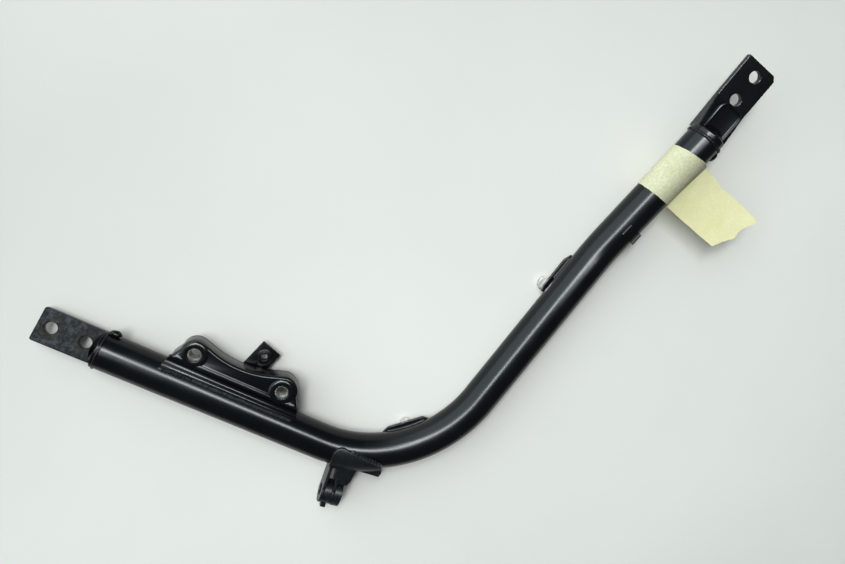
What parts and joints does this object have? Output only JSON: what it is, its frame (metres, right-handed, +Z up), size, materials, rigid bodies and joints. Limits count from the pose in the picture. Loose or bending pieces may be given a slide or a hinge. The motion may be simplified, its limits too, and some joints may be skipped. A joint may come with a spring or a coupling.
{
  "type": "motorcycle subframe",
  "caption": "Removable bent steel tube of a motorcycle frame with a bolting lug at each end, a pressed control bracket, a pivot bracket and small guides.",
  "frame": {"origin": "centre of the rear lug's two holes, half way through the tongue", "axes": "+X along the lower leg from the rear lug towards the bend, +Y to the inside of the bend, +Z up with the part lying on its side, boss openings upwards"},
  "size_m": [0.5467, 0.5619, 0.06],
  "materials": {
    "gloss_black": "gloss black paint with light dust",
    "worn_black": "dull black paint worn grey on the bolting faces",
    "bare_steel": "bare plated steel, slightly tarnished",
    "paper_tape": "pale yellow crepe paper tape"
  },
  "bodies": {
    "root": {"lower_tube": "gloss_black", "upper_tube": "gloss_black", "top_tube": "gloss_black", "rear_lug": "worn_black", "rear_weld": "gloss_black", "front_lug": "gloss_black", "front_weld": "gloss_black", "front_pad": "gloss_black", "control_bracket": "gloss_black", "bracket_bosses": "gloss_black", "bracket_weld": "gloss_black", "bracket_end_weld": "gloss_black", "nut_tab": "gloss_black", "tab_nut": "gloss_black", "tab_weld": "gloss_black", "pivot_bracket": "gloss_black", "pivot_collar": "gloss_black", "pivot_nut": "gloss_black", "pivot_weld": "gloss_black", "bend_plate": "gloss_black", "bend_stud": "bare_steel", "bend_weld": "gloss_black", "side_plate": "gloss_black", "side_stud": "bare_steel", "side_weld": "gloss_black", "cable_clip": "gloss_black", "tag_wrap": "paper_tape", "tag_flag": "paper_tape"}
  },
  "joints": []
}
